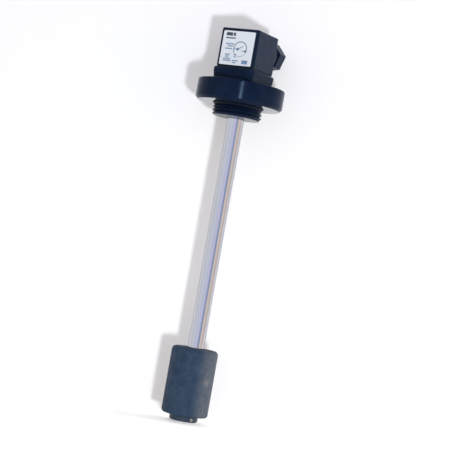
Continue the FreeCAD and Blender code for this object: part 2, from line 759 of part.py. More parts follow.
def centre_screw():
    seat = f"({COUNTERBORE_FLOOR} + screw_seal_thickness)"
    body = turned("centre_screw", [
        ("0", f"{BLOCK_TOP} - screw_engagement"),
        ("screw_dia / 2", f"{BLOCK_TOP} - screw_engagement"),
        ("screw_dia / 2", seat),
        ("screw_head_dia / 2", seat),
        ("screw_head_dia / 2", f"{seat} + screw_head_height"),
        ("0", f"{seat} + screw_head_height"),
    ])
    slot = new_sketch(body, "XY_Plane", f"{seat} + screw_head_height")
    draw_rectangle(slot, "screw_head_dia", "screw_slot_width")
    pocket(body, slot, "screw_slot_depth")
    return body


def gland_ring(label, outside, inside, foot, length):
    """A plain ring on the axis of the cable gland."""
    body = new_body(label)
    ring = new_sketch(body, "XZ_Plane", f"-{foot}")
    draw_circle(ring, outside, along=GLAND_LEVEL)
    draw_circle(ring, inside, along=GLAND_LEVEL)
    pad(body, ring, length, backwards=True)
    return body


def gland_nut():
    body = new_body("gland_nut")
    hexagon = new_sketch(body, "XZ_Plane", f"-{NUT_FOOT}")
    corners = []
    for step in range(6):
        angle = f"(nut_turn + {60 * step})"
        reach = "nut_width / 2 / cos(30)"
        corners.append((f"{reach} * cos{angle}", f"{GLAND_LEVEL} + {reach} * sin{angle}"))
    draw_outline(hexagon, corners)
    pad(body, hexagon, "nut_length", backwards=True)
    spigot = new_sketch(body, "XZ_Plane", f"-{SPIGOT_FOOT}")
    draw_circle(spigot, SPIGOT_DIA, along=GLAND_LEVEL)
    pad(body, spigot, f"{NUT_FOOT} - {SPIGOT_FOOT}", backwards=True)
    bore = new_sketch(body, "XZ_Plane", f"-{NUT_END}")
    draw_circle(bore, "nut_bore_dia", along=GLAND_LEVEL)
    pocket(body, bore, f"{NUT_END} - {SPIGOT_FOOT}", backwards=True)
    end_face = number(NUT_END)

    def is_end_side(edge):
        return edge.BoundBox.YMin > end_face - NEAR and edge.Curve.TypeId == "Part::GeomLine"

    chamfer(body, "nut_bevel", is_end_side)
    return body


def reed_capsule():
    hole = "lead_dia / 2 + lead_fit"
    inside = "capsule_dia / 2 - capsule_wall"
    return turned("reed_capsule", [
        (hole, CAPSULE_FOOT),
        (inside, CAPSULE_FOOT),
        ("capsule_dia / 2", f"{CAPSULE_FOOT} + capsule_wall"),
        ("capsule_dia / 2", f"{CAPSULE_TOP} - capsule_wall"),
        (inside, CAPSULE_TOP),
        (hole, CAPSULE_TOP),
        (hole, f"{CAPSULE_TOP} - capsule_seal"),
        (inside, f"{CAPSULE_TOP} - capsule_seal - capsule_taper"),
        (inside, f"{CAPSULE_FOOT} + capsule_seal + capsule_taper"),
        (hole, f"{CAPSULE_FOOT} + capsule_seal"),
    ])


def reed_blade(label, side, lead_foot, blade_foot):
    """A round lead that passes the glass and is flattened to a reed inside it."""
    lead = rod(f"{label}_lead", "lead_dia", "lead_length + capsule_seal + capsule_taper", lead_foot)
    blade = doc.addObject("Part::Box", f"{label}_flat")
    blade.setExpression("Length", link("reed_width"))
    blade.setExpression("Width", link("reed_thickness"))
    blade.setExpression("Height", link(f"{REED_MIDDLE} + reed_overlap / 2 - {CHAMBER_FOOT}"))
    offset = "reed_gap / 2" if side > 0 else "-reed_gap / 2 - reed_thickness"
    place(blade, x="-reed_width / 2", y=offset, z=blade_foot)
    joined = doc.addObject("Part::Fuse", label)
    joined.Base = lead
    joined.Tool = blade
    return joined


def reed_carrier():
    """A moulded tube that centres the capsule in the stem and guides both wires past it."""
    body = new_body("reed_carrier")
    foot = f"({LEAD_FOOT} - carrier_tube_overhang)"
    length = "capsule_length + 2 * lead_length + 2 * carrier_tube_overhang"
    ring = new_sketch(body, "XY_Plane", foot)
    draw_circle(ring, f"({STEM_BORE} - 2 * carrier_tube_fit)")
    pad(body, ring, length)
    lane = new_sketch(body, "XY_Plane", foot)
    slot_width = "(wire_dia + 2 * wire_fit)"
    draw_rectangle(lane, f"(2 * wire_lane + {slot_width})", slot_width)
    pocket(body, lane, length, backwards=True)
    seat = new_sketch(body, "XY_Plane", foot)
    draw_circle(seat, "capsule_dia + 2 * capsule_fit")
    pocket(body, seat, length, backwards=True)
    return body


def wire(label, role, lanes):
    """An insulated wire of upright runs, each joined to the next lane by two arcs.

    Each lane gives the wire's distance from the stem axis and the height where its run ends."""
    body = new_body(label)
    path = new_sketch(body, role)
    radius = number("wire_bend")
    foot = lanes[0][1]
    runs = lanes[1:]
    low = foot
    lines = []
    bends = []
    for index, (lane, high) in enumerate(runs):
        start = spot(lane, low)
        end = spot(lane, high)
        if index:
            start = FreeCAD.Vector(end.x, bends[-1][2], 0)
        lines.append(path.addGeometry(Part.LineSegment(start, end), False))
        if index + 1 < len(runs):
            shift = number(runs[index + 1][0]) - end.x
            side = 1 if shift > 0 else -1
            drop = abs(shift) / 2
            rise = (radius * radius - (radius - drop) ** 2) ** 0.5
            middle = FreeCAD.Vector(end.x + shift / 2, end.y + rise, 0)
            far = FreeCAD.Vector(end.x + shift, end.y + 2 * rise, 0)
            lower_centre = FreeCAD.Vector(end.x + side * radius, end.y, 0)
            upper_centre = FreeCAD.Vector(far.x - side * radius, far.y, 0)
            sweep_lower = lower_centre + (end - lower_centre + middle - lower_centre).normalize() * radius
            sweep_upper = upper_centre + (far - upper_centre + middle - upper_centre).normalize() * radius
            first = path.addGeometry(Part.ArcOfCircle(end, sweep_lower, middle), False)
            second = path.addGeometry(Part.ArcOfCircle(middle, sweep_upper, far), False)
            bends.append((first, second, far.y, side))
        low = high
    hold_point(path, lines[0], 1, runs[0][0], foot)
    for index, (lane, high) in enumerate(runs):
        path.addConstraint(Sketcher.Constraint("Vertical", lines[index]))
        hold(path, Sketcher.Constraint("DistanceY", lines[index], 2, number(high)), high)
        if index:
            hold(path, Sketcher.Constraint("DistanceX", lines[index], 2, number(lane)), lane)
    for index, (first, second, level, side) in enumerate(bends):
        lower_start, lower_end = (2, 1) if side > 0 else (1, 2)
        upper_start, upper_end = (1, 2) if side > 0 else (2, 1)
        path.addConstraint(Sketcher.Constraint("Tangent", lines[index], 2, first, lower_start))
        path.addConstraint(Sketcher.Constraint("Tangent", first, lower_end, second, upper_start))
        path.addConstraint(Sketcher.Constraint("Tangent", second, upper_end, lines[index + 1], 1))
        for arc in (first, second):
            hold(path, Sketcher.Constraint("Radius", arc, radius), "wire_bend")
    section = new_sketch(body, "XY_Plane", foot)
    if role == "XZ_Plane":
        draw_circle(section, "wire_dia", across=runs[0][0])
    else:
        draw_circle(section, "wire_dia", along=runs[0][0])
    pipe = body.newObject("PartDesign::AdditivePipe", f"{label}_pipe")
    pipe.Profile = section
    pipe.Spine = path
    doc.recompute()
    return body


def wires():
    """The two switch wires and the earth wire, up to the tails of the plug's blades."""
    bend_level = f"{POTTING_TOP} + wire_fit"
    upper_joint = f"{LEAD_TOP} - wire_joint"
    lower_joint = f"{CAPSULE_FOOT} - wire_set_off"
    return [
        wire("lead_wire_1", "XZ_Plane", [
            (f"-{SOLDER_LANE}", upper_joint),
            (f"-{SOLDER_LANE}", LEAD_TOP),
            ("-wire_lane", bend_level),
            (f"-{TAIL_LANE}", WIRE_TOP),
        ]),
        wire("lead_wire_2", "XZ_Plane", [
            (SOLDER_LANE, LEAD_FOOT),
            (SOLDER_LANE, lower_joint),
            ("wire_lane", bend_level),
            (TAIL_LANE, WIRE_TOP),
        ]),
        wire("earth_wire", "YZ_Plane", [
            ("earth_lane", f"{LIP_TOP} + wire_fit"),
            ("earth_lane", bend_level),
            (TAIL_LANE, WIRE_TOP),
        ]),
    ]


nodes = [
    head_body(),
    flange_o_ring(),
    stem_tube(),
    stem_plug(),
    stem_potting(),
    stop_collar(),
    stop_screw(),
    float_body(),
    float_magnet(),
    contact_base(),
    base_insert(),
    terminal_carrier(),
    terminal_screws(),
    connector_gasket(),
    connector_housing(),
    rating_label(),
    screw_seal(),
    centre_screw(),
    gland_ring("gland_grommet", SPIGOT_DIA, "grommet_bore_dia", GROMMET_FOOT, "grommet_length"),
    gland_ring("gland_washer", SPIGOT_DIA, "washer_bore_dia", WASHER_FOOT, "washer_thickness"),
    gland_nut(),
    reed_capsule(),
    reed_blade("reed_blade_lower", 1, LEAD_FOOT, CHAMBER_FOOT),
    reed_blade("reed_blade_upper", -1, CHAMBER_TOP, f"{REED_MIDDLE} - reed_overlap / 2"),
    reed_carrier(),
]
for contact, turn in CONTACTS:
    nodes.append(contact_blade(contact, turn))
    nodes.append(socket_contact(contact, turn))
nodes.extend(wires())
doc.recompute()

for item in doc.Objects:
    if {"Invalid", "Error"} & set(item.State):
        raise RuntimeError(f"{item.Name} failed to build")
for item in nodes:
    if item.Shape.isNull() or not item.Shape.isValid():
        raise RuntimeError(f"{item.Label} has no valid shape")

os.makedirs("parts", exist_ok=True)
for item in nodes:
    item.Shape.exportStep(f"parts/{item.Label}.step")
print(f"{len(nodes)} pieces written")
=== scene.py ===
import bmesh
import bpy
import json
import math
import numpy as np
from mathutils import Matrix, Quaternion, Vector


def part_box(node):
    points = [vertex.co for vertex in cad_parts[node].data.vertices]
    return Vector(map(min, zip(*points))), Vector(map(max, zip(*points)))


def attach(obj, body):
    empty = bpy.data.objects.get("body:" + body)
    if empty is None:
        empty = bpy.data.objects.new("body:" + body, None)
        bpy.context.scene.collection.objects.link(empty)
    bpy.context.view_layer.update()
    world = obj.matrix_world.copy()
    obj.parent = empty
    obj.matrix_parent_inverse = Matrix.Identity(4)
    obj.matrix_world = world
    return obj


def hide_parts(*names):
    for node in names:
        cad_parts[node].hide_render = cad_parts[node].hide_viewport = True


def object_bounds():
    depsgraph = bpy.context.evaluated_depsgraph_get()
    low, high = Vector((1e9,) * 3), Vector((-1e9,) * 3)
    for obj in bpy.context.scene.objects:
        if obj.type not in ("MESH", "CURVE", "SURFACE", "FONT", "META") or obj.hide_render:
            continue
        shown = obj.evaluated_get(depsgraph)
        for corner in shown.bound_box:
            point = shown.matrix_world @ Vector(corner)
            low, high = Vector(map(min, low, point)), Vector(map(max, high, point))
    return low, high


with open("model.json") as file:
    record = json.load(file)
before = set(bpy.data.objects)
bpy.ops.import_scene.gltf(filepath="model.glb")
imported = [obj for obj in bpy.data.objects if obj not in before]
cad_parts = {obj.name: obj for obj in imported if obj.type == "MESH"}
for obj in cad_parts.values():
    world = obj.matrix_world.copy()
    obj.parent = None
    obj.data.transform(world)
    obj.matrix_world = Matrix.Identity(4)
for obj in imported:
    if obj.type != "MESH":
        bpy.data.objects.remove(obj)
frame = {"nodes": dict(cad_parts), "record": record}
nodes = frame["nodes"]
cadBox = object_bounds()
mm = 0.001
up = Vector((0, 0, 1))
print("frame loaded:", len(nodes), "pieces")


# Shader maths: a socket that takes part in Python expressions
class Wire:
    def __init__(self, tree, socket=None):
        self.tree = tree
        self.socket = socket

    def plug(self, node, inputs):
        for key, value in inputs.items():
            if isinstance(value, Wire):
                self.tree.links.new(value.socket, node.inputs[key])
            else:
                node.inputs[key].default_value = value

    def node(self, kind, settings=None, inputs=None, out=0):
        made = self.tree.nodes.new("ShaderNode" + kind)
        for key, value in (settings or {}).items():
            if key == "stops":
                setStops(made.color_ramp, value)
            else:
                setattr(made, key, value)
        self.plug(made, inputs or {})
        return Wire(self.tree, made.outputs[out])

    def math(self, operation, first, second=0.0):
        return self.node("Math", {"operation": operation}, {0: first, 1: second})

    def __add__(self, other):
        return self.math("ADD", self, other)

    def __radd__(self, other):
        return self.math("ADD", other, self)

    def __sub__(self, other):
        return self.math("SUBTRACT", self, other)

    def __rsub__(self, other):
        return self.math("SUBTRACT", other, self)

    def __mul__(self, other):
        return self.math("MULTIPLY", self, other)

    def __rmul__(self, other):
        return self.math("MULTIPLY", other, self)


def setStops(ramp, stops):
    while len(ramp.elements) < len(stops):
        ramp.elements.new(1.0)
    for element, (place, colour) in zip(ramp.elements, stops):
        element.position = place
        element.color = colour


def newFinish(name):
    mat = bpy.data.materials.new(name)
    mat.use_nodes = True
    shader = mat.node_tree.nodes["Principled BSDF"]
    wire = Wire(mat.node_tree)
    place = wire.node("TexCoord", out="Object")
    return mat, shader, wire, place


def noise(wire, place, size, detail=3.0, rough=0.55):
    return wire.node("TexNoise", {},
                     {"Vector": place, "Scale": 1 / size, "Detail": detail, "Roughness": rough})


def stretched(wire, place, scale):
    return wire.node("Mapping", {}, {"Vector": place, "Scale": scale})


def ramp(wire, value, low, high):
    return wire.node("MapRange", {"interpolation_type": "SMOOTHSTEP"},
                     {"Value": value, "From Min": low, "From Max": high})


def patchy(value, least, gain):
    return least + value * gain


def tint(wire, factor, first, second):
    return wire.node("Mix", {"data_type": "RGBA"}, {0: factor, 6: first, 7: second}, out=2)


def bump(wire, height, depth):
    return wire.node("Bump", {}, {"Height": height, "Distance": depth})


def rgb(red, green, blue):
    return (red, green, blue, 1.0)


# Moulded plastics and rubbers: a fine eroded grain, cloudy colour and a patchy polish
mouldings = {
    "headPlastic": {
        "dark": rgb(0.0028, 0.008, 0.0215), "light": rgb(0.0055, 0.0127, 0.0305), "cloud": 9 * mm,
        "grain": 0.35 * mm, "depth": 0.004 * mm, "smooth": 0.13, "rough": 0.21, "gloss": 0.05, "sheen": 0.02,
    },
    "housingPlastic": {
        "dark": rgb(0.004, 0.0105, 0.027), "light": rgb(0.0075, 0.016, 0.036), "cloud": 7 * mm,
        "grain": 0.28 * mm, "depth": 0.012 * mm, "smooth": 0.28, "rough": 0.4, "gloss": 0.1, "sheen": 0.02,
    },
    "collarPlastic": {
        "dark": rgb(0.027, 0.044, 0.070), "light": rgb(0.045, 0.065, 0.092), "cloud": 4 * mm,
        "grain": 0.3 * mm, "depth": 0.012 * mm, "smooth": 0.4, "rough": 0.55, "gloss": 0.25, "sheen": 0.0,
    },
    "carrierPlastic": {
        "dark": rgb(0.16, 0.165, 0.17), "light": rgb(0.23, 0.235, 0.24), "cloud": 5 * mm,
        "grain": 0.3 * mm, "depth": 0.01 * mm, "smooth": 0.4, "rough": 0.55, "gloss": 0.4, "sheen": 0.0,
    },
    "sealRubber": {
        "dark": rgb(0.003, 0.006, 0.013), "light": rgb(0.006, 0.010, 0.019), "cloud": 3 * mm,
        "grain": 0.2 * mm, "depth": 0.006 * mm, "smooth": 0.45, "rough": 0.62, "gloss": 0.15, "sheen": 0.0,
    },
}
# The flange's underside is the head's own plastic, turned flat and glossy
mouldings["sealingFace"] = dict(
    mouldings["headPlastic"], depth=0.001 * mm, smooth=0.06, rough=0.12, gloss=0.6, sheen=0.0)

mouldGrain = {
    "cloudSpan": (0.3, 0.7), "speckSize": 4, "speckSpan": (0.62, 0.75), "cloudShare": 0.8, "speckShare": 0.2,
    "smudgeSize": 0.6, "smudgeSpan": (0.3, 0.72), "sheenRough": 0.4,
}


def moulded(name):
    look = mouldings[name]
    skin = mouldGrain
    mat, shader, wire, place = newFinish(name)
    cloud = noise(wire, place, look["cloud"], detail=4.0)
    grain = noise(wire, place, look["grain"], detail=2.0)
    specks = noise(wire, place, look["grain"] * skin["speckSize"], detail=1.0)
    smudges = noise(wire, place, look["cloud"] * skin["smudgeSize"], detail=5.0)
    shade = (ramp(wire, cloud, *skin["cloudSpan"]) * skin["cloudShare"]
             + ramp(wire, specks, *skin["speckSpan"]) * skin["speckShare"])
    smudge = ramp(wire, smudges, *skin["smudgeSpan"])
    wire.plug(shader, {
        "Base Color": tint(wire, shade, look["dark"], look["light"]),
        "Roughness": smudge * (look["rough"] - look["smooth"]) + look["smooth"],
        "Normal": bump(wire, grain, look["depth"]),
        "Specular IOR Level": look["gloss"],
        "Sheen Weight": look["sheen"],
        "Sheen Roughness": skin["sheenRough"],
    })
    return mat


# Closed-cell float: soft mottling, open pores with painted shade in them, a dusty skin, a painted sheen on
# one side in scuff-like patches and a painted highlight spot on that side
floatLook = {
    "dark": rgb(0.020, 0.038, 0.068), "light": rgb(0.034, 0.060, 0.097),
    "mottle": 6 * mm, "mottleSpan": (0.28, 0.72), "grain": 0.3 * mm, "grainBump": 0.5,
    # Pores take painted shade: their base colour is darkened towards the dark tone
    "pore": 0.55 * mm, "poreSpan": (0.1, 0.45), "poreDepth": 0.06 * mm, "poreShadeShare": 0.6,
    "porePatch": 1.65 * mm, "porePatchSpan": (0.45, 0.6),
    "dust": rgb(0.10, 0.12, 0.15), "dustPatch": 13.2 * mm, "dustSpan": (0.5, 0.78),
    "dustShare": 0.25, "dustGrain": (0.6, 0.8),
    # Painted sheen: one side of the float is tinted paler and greyer, in scuff-like patches, as if lit
    "paintedSheenColour": rgb(0.17, 0.17, 0.165), "paintedSheenSide": (0.995, 0.1, 0.0),
    "paintedSheenFrom": 8.5 * mm, "paintedSheenTo": 15.4 * mm, "paintedSheenPatch": 2.7 * mm, "paintedSheenSpan": (0.25, 0.75),
    "paintedSheenShare": 0.45, "paintedSheenGrain": (0.5, 0.5),
    # Painted highlight: a pale spot on the sheen side, placed by height above the float's foot
    "paintedHighlightSpot": (14.9 * mm, -4.3 * mm), "paintedHighlightHeight": 24 * mm, "paintedHighlightSize": 4 * mm,
    "paintedHighlightShare": 0.65, "paintedHighlightGrain": (0.4, 1.2),
    "smooth": 0.55, "rough": 0.8, "gloss": 0.25,
}


def floatRubber():
    look = floatLook
    mat, shader, wire, place = newFinish("floatRubber")
    mottle = noise(wire, place, look["mottle"], detail=5.0, rough=0.6)
    grain = noise(wire, place, look["grain"], detail=3.0)
    cells = wire.node("TexVoronoi", {}, {"Vector": place, "Scale": 1 / look["pore"]})
    patches = ramp(wire, noise(wire, place, look["porePatch"], detail=1.0), *look["porePatchSpan"])
    pores = (1 - ramp(wire, cells, *look["poreSpan"])) * patches
    dusty = ramp(wire, noise(wire, place, look["dustPatch"], detail=6.0, rough=0.65), *look["dustSpan"])
    shade = tint(wire, ramp(wire, mottle, *look["mottleSpan"]), look["dark"], look["light"])
    dustAmount = dusty * look["dustShare"] * patchy(grain, *look["dustGrain"])
    shade = tint(wire, dustAmount, shade, look["dust"])

    # Painted sheen: the side turned one way is tinted pale grey in patches, as if lit; worn here holds that
    # painted sheen
    facing = wire.node("VectorMath", {"operation": "DOT_PRODUCT"},
                       {0: place, 1: look["paintedSheenSide"]}, out="Value")
    sheenPatches = ramp(wire, noise(wire, place, look["paintedSheenPatch"], detail=4.0), *look["paintedSheenSpan"])
    worn = ramp(wire, facing, look["paintedSheenFrom"], look["paintedSheenTo"]) * patchy(sheenPatches, *look["paintedSheenGrain"])
    shade = tint(wire, worn * look["paintedSheenShare"], shade, look["paintedSheenColour"])

    # Painted highlight: a pale round spot on the lit side, tinted towards the sheen colour
    spot = (*look["paintedHighlightSpot"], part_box("float_body")[0].z + look["paintedHighlightHeight"])
    away = wire.node("VectorMath", {"operation": "DISTANCE"}, {0: place, 1: spot}, out="Value")
    paintedHighlight = (1 - ramp(wire, away, 0.0, look["paintedHighlightSize"])) * patchy(grain, *look["paintedHighlightGrain"])
    shade = tint(wire, paintedHighlight * look["paintedHighlightShare"], shade, look["paintedSheenColour"])
    wire.plug(shader, {
        # painted shade in the pores, darkened towards the dark tone
        "Base Color": tint(wire, pores * look["poreShadeShare"], shade, look["dark"]),
        "Roughness": look["rough"] - dusty * (look["rough"] - look["smooth"]),
        "Normal": bump(wire, grain * look["grainBump"] - pores, look["poreDepth"]),
        "Specular IOR Level": look["gloss"],
    })
    return mat


# Metals: drawn or turned, with fine lines and a thin haze
metals = {
    "stemSteel": {
        "dark": rgb(0.53, 0.54, 0.59), "light": rgb(0.62, 0.63, 0.69), "lines": (9000, 9000, 25),
        "smooth": 0.07, "rough": 0.1, "depth": 0.0012 * mm,
    },
    "screwSteel": {
        "dark": rgb(0.52, 0.52, 0.53), "light": rgb(0.72, 0.72, 0.72), "lines": (3500, 3500, 3500),
        "smooth": 0.22, "rough": 0.36, "depth": 0.003 * mm,
    },
    "contactBrass": {
        "dark": rgb(0.62, 0.48, 0.25), "light": rgb(0.80, 0.68, 0.42), "lines": (2500, 2500, 600),
        "smooth": 0.2, "rough": 0.36, "depth": 0.002 * mm,
    },
    "reedAlloy": {
        "dark": rgb(0.5, 0.48, 0.45), "light": rgb(0.7, 0.68, 0.64), "lines": (4000, 4000, 500),
        "smooth": 0.2, "rough": 0.34, "depth": 0.001 * mm,
    },
}
metalSkin = {
    "haze": 14 * mm, "hazeSpan": (0.35, 0.75), "lineSpan": (0.25, 0.75),
    "rim": rgb(0.52, 0.47, 0.45),  # how much a metal still shows at its outline
}


def metal(name):
    look = metals[name]
    skin = metalSkin
    mat, shader, wire, place = newFinish(name)
    lines = noise(wire, stretched(wire, place, look["lines"]), size=1.0, detail=3.0)
    haze = ramp(wire, noise(wire, place, skin["haze"], detail=5.0), *skin["hazeSpan"])
    wire.plug(shader, {
        "Base Color": tint(wire, ramp(wire, lines, *skin["lineSpan"]), look["dark"], look["light"]),
        "Roughness": haze * (look["rough"] - look["smooth"]) + look["smooth"],
        "Normal": bump(wire, lines, look["depth"]),
        "Metallic": 1.0,
        "Specular Tint": skin["rim"],
    })
    return mat


# Inner materials: cast resin, ferrite, wire jackets and glass
fillers = {
    "pottingResin": {"dark": rgb(0.02, 0.017, 0.014), "light": rgb(0.05, 0.043, 0.036), "rough": 0.3},
    "magnetFerrite": {"dark": rgb(0.045, 0.045, 0.05), "light": rgb(0.085, 0.085, 0.09), "rough": 0.6},
    "wireBrown": {"dark": rgb(0.09, 0.033, 0.012), "light": rgb(0.14, 0.055, 0.022), "rough": 0.4},
    "wireBlue": {"dark": rgb(0.015, 0.05, 0.26), "light": rgb(0.03, 0.085, 0.36), "rough": 0.4},
    "wireGreen": {"dark": rgb(0.05, 0.22, 0.03), "light": rgb(0.42, 0.45, 0.04), "rough": 0.4},
}
fillerSkin = {
    "patch": 2 * mm, "patchSpan": (0.35, 0.65), "patchRough": 0.1, "grain": 0.4 * mm, "depth": 0.004 * mm,
}


def filler(name):
    look = fillers[name]
    skin = fillerSkin
    mat, shader, wire, place = newFinish(name)
    patches = noise(wire, place, skin["patch"], detail=3.0)
    wire.plug(shader, {
        "Base Color": tint(wire, ramp(wire, patches, *skin["patchSpan"]), look["dark"], look["light"]),
        "Roughness": look["rough"] + patches * skin["patchRough"],
        "Normal": bump(wire, noise(wire, place, skin["grain"], detail=2.0), skin["depth"]),
    })
    return mat


glassLook = {
    "dark": rgb(0.75, 0.88, 0.8), "light": rgb(0.86, 0.95, 0.9), "cloud": 3 * mm, "smudge": 2 * mm,
    "smooth": 0.02, "smudgeRough": 0.06, "clear": 0.9, "ior": 1.48,
}


def reedGlass():
    look = glassLook
    mat, shader, wire, place = newFinish("reedGlass")
    wire.plug(shader, {
        "Base Color": tint(wire, noise(wire, place, look["cloud"]), look["dark"], look["light"]),
        "Roughness": noise(wire, place, look["smudge"]) * look["smudgeRough"] + look["smooth"],
        "Transmission Weight": look["clear"],
        "IOR": look["ior"],
    })
    return mat


# Printed film: satin white, faintly fibrous and a little soiled, and the inks on it
labelLook = {
    "paper": rgb(0.73, 0.75, 0.735), "warm": rgb(0.67, 0.68, 0.66), "soil": 5 * mm, "soilSpan": (0.4, 0.8),
    "soilShare": 0.6, "fibre": 0.5 * mm, "depth": 0.004 * mm, "rough": 0.5, "soilPolish": 0.12, "gloss": 0.3,
}
inks = {
    "inkGrey": rgb(0.055, 0.065, 0.085), "inkBlue": rgb(0.15, 0.25, 0.36), "inkPale": rgb(0.22, 0.30, 0.37),
}
inkSkin = {
    "wear": 0.1 * mm, "wearSpan": (0.55, 0.9), "wearShare": 0.08, "wearRough": 0.15,
    "rough": 0.45, "gloss": 0.3,
}


def labelFilm():
    look = labelLook
    mat, shader, wire, place = newFinish("labelFilm")
    soil = ramp(wire, noise(wire, place, look["soil"], detail=5.0), *look["soilSpan"])
    fibre = noise(wire, place, look["fibre"], detail=2.0)
    wire.plug(shader, {
        "Base Color": tint(wire, soil * look["soilShare"], look["paper"], look["warm"]),
        "Roughness": look["rough"] - soil * look["soilPolish"],
        "Normal": bump(wire, fibre, look["depth"]),
        "Specular IOR Level": look["gloss"],
    })
    return mat


def ink(name):
    skin = inkSkin
    mat, shader, wire, place = newFinish(name)
    worn = ramp(wire, noise(wire, place, skin["wear"], detail=3.0), *skin["wearSpan"])
    wire.plug(shader, {
        "Base Color": tint(wire, worn * skin["wearShare"], inks[name], labelLook["paper"]),
        "Roughness": skin["rough"] + worn * skin["wearRough"],
        "Specular IOR Level": skin["gloss"],
    })
    return mat


finishOf = {
    "housing_plastic": moulded("housingPlastic"),
    "head_plastic": moulded("headPlastic"),
    "label_film": labelFilm(),
    "stem_steel": metal("stemSteel"),
    "float_rubber": floatRubber(),
    "seal_rubber": moulded("sealRubber"),
    "contact_brass": metal("contactBrass"),
    "screw_steel": metal("screwSteel"),
    "collar_plastic": moulded("collarPlastic"),
    "carrier_plastic": moulded("carrierPlastic"),
    "potting_resin": filler("pottingResin"),
    "magnet_ferrite": filler("magnetFerrite"),
    "reed_glass": reedGlass(),
    "reed_alloy": metal("reedAlloy"),
    "wire_brown": filler("wireBrown"),
    "wire_blue": filler("wireBlue"),
    "wire_green": filler("wireGreen"),
}
for row in frame["record"]["subparts"]:
    for slot in nodes[row["node"]].material_slots:
        slot.material = finishOf[row["material_slot"]]
print("finishes given:", len(finishOf))


def newPiece(name, mesh, body, slotName, mat=None):
    piece = bpy.data.objects.new(name, mesh)
    bpy.context.scene.collection.objects.link(piece)
    mesh.materials.clear()
    mesh.materials.append(mat or finishOf[slotName])
    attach(piece, body)
    return piece


def meshFrom(name, build):
    shape = bmesh.new()
    build(shape)
    bmesh.ops.recalc_face_normals(shape, faces=shape.faces)
    mesh = bpy.data.meshes.new(name)
    shape.to_mesh(mesh)
    shape.free()
    return mesh


# Pipe thread: the boss is turned down to the root, and a ridge winds round it
mountOf = {mount["name"]: mount for mount in frame["record"]["mounts"]}
threadRadius = mountOf["tank_thread"]["dims"]["r_mm"] * mm
threadShape = {
    "pitch": 2.309 * mm, "depth": 1.479 * mm, "flank": math.radians(27.5),
    "crest": 0.35 * mm, "crestFlat": 0.6, "crestDrop": 0.93,  # half the crest's width, and its rounding
    "footRise": 0.04, "footSpread": 1.08, "sink": 0.12 * mm,  # the ridge's foot, sunk in the boss
    "top": -1.8 * mm, "foot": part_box("head_body")[0].z, "edge": 1.2 * mm, "trim": 0.02 * mm,
    "extraTurns": 0.55, "startBelow": 0.25, "perTurn": 120, "weld": 0.002 * mm, "sharp": math.radians(40),
}
headShape = {
    "turnedAbove": 0.3 * mm, "slant": (0.2, 0.95), "onRoot": 0.999,  # where the boss becomes a plain wall
    "faceDown": -0.99, "faceReach": 0.1 * mm,  # what counts as the sealing face
}


def threadedHead():
    shape = headShape
    root = threadRadius - threadShape["depth"]
    top = threadShape["top"] + shape["turnedAbove"]
    mesh = nodes["head_body"].data.copy()
    normals = np.empty(len(mesh.loops) * 3, np.float32)
    mesh.corner_normals.foreach_get("vector", normals)
    normals = normals.reshape(-1, 3)
    for vert in mesh.vertices:
        reach = math.hypot(vert.co.x, vert.co.y)
        if vert.co.z < top and reach > root:
            vert.co.x *= root / reach
            vert.co.y *= root / reach
    for loop in mesh.loops:  # the chamfer is now a plain wall
        place = mesh.vertices[loop.vertex_index].co
        slanted = shape["slant"][0] < abs(normals[loop.index][2]) < shape["slant"][1]
        if place.z < top and slanted and math.hypot(place.x, place.y) > root * shape["onRoot"]:
            normals[loop.index] = Vector((place.x, place.y, 0)).normalized()
    mesh.normals_split_custom_set(normals)
    piece = newPiece("head_moulding", mesh, "head_and_stem", "head_plastic")
    mesh.materials.append(moulded("sealingFace"))
    for face in mesh.polygons:
        if face.normal.z < shape["faceDown"] and abs(face.center.z) < shape["faceReach"]:
            face.material_index = 1
    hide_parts("head_body")
    return piece


def ridgeProfile(shape):
    crest, depth = shape["crest"], shape["depth"]
    base = crest + depth * math.tan(shape["flank"])
    half = [
        (0.0, depth), (shape["crestFlat"] * crest, depth), (crest, shape["crestDrop"] * depth),
        ((crest + base) / 2, depth / 2),
        (base, shape["footRise"] * depth), (base * shape["footSpread"], -shape["sink"]),
    ]
    return [(-off, rise) for off, rise in reversed(half)] + half[1:]


def pipeThread():
    shape = threadShape
    root = threadRadius - shape["depth"]
    profile = ridgeProfile(shape)
    turns = (shape["top"] - shape["foot"]) / shape["pitch"] + shape["extraTurns"]
    steps = int(turns * shape["perTurn"])
    start = shape["foot"] - shape["startBelow"] * shape["pitch"]

    def build(bm):
        rings = []
        for step in range(steps + 1):
            angle = 2 * math.pi * step / shape["perTurn"]
            middle = start + shape["pitch"] * step / shape["perTurn"]
            ring = []
            for off, rise in profile:
                level = min(max(middle + off, shape["foot"] + shape["trim"]), shape["top"] - shape["trim"])
                fromEnd = min(level - shape["foot"], shape["top"] - level)
                inset = max(0.0, shape["edge"] - fromEnd)
                reach = min(root + rise, threadRadius - inset)
                ring.append(bm.verts.new((reach * math.cos(angle), reach * math.sin(angle), level)))
            rings.append(ring)
        size = len(profile)
        for first, second in zip(rings, rings[1:]):
            for k in range(size):
                n = (k + 1) % size
                bm.faces.new((first[k], first[n], second[n], second[k]))
        bm.faces.new(rings[0])
        bm.faces.new(list(reversed(rings[-1])))
        bmesh.ops.remove_doubles(bm, verts=bm.verts, dist=shape["weld"])
        bmesh.ops.dissolve_degenerate(bm, edges=bm.edges, dist=shape["weld"])

    mesh = meshFrom("pipe_thread", build)
    mesh.shade_smooth()
    mesh.set_sharp_from_angle(angle=shape["sharp"])
    return newPiece("pipe_thread", mesh, "head_and_stem", "head_plastic")


head = threadedHead()
thread = pipeThread()
print("thread cut")


# Set screw in the stop collar, with a hexagon socket
setScrew = {
    "chamfer": 0.3 * mm, "socket": 0.65 * mm, "socketDepth": 1.1 * mm, "sides": 48, "sharp": math.radians(25),
}


